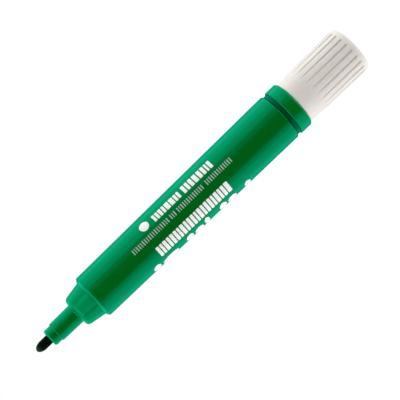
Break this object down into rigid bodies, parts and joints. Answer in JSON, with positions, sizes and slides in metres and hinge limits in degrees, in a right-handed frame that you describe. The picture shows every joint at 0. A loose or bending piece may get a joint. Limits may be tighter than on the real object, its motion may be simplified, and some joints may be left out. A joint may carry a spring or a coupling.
{
  "type": "whiteboard marker",
  "caption": "Bullet-tip refillable whiteboard marker with a tapered barrel, push-fit nib, pull-out tail plug and fluted cap posted on the tail.",
  "frame": {"origin": "centre of the posted cap's flat closed end, the lowest point of the upright marker", "axes": "+Z along the marker's axis from the cap towards the nib; the marker is round, so X and Y are free, and +Y points away from the side with the main print"},
  "size_m": [0.0166, 0.0166, 0.1336],
  "materials": {
    "green_plastic": "satin moulded polypropylene",
    "white_plastic": "semi-matt moulded polypropylene",
    "soft_seal_plastic": "soft moulded polyethylene",
    "inked_fibre": "ground acrylic fibre, wet with ink",
    "ink_soaked_wadding": "bonded polyester fibre, soaked with ink",
    "clear_film": "thin wrapped film"
  },
  "bodies": {
    "barrel": {"barrel": "green_plastic", "nib_holder": "green_plastic", "ink_reservoir": "ink_soaked_wadding", "reservoir_wrap": "clear_film"},
    "nib": {"nib": "inked_fibre"},
    "refill_plug": {"refill_plug": "green_plastic"},
    "cap": {"cap": "white_plastic", "cap_inner_seal": "soft_seal_plastic"}
  },
  "joints": [
    {"name": "nib_pull", "type": "slide", "parent": "barrel", "child": "nib", "axis": [0, 0, 1], "range_m": [0, 0.028]},
    {"name": "plug_pull", "type": "slide", "parent": "barrel", "child": "refill_plug", "axis": [0, 0, -1], "range_m": [0, 0.015]},
    {"name": "cap_pull", "type": "slide", "parent": "refill_plug", "child": "cap", "axis": [0, 0, -1], "range_m": [0, 0.015]}
  ]
}
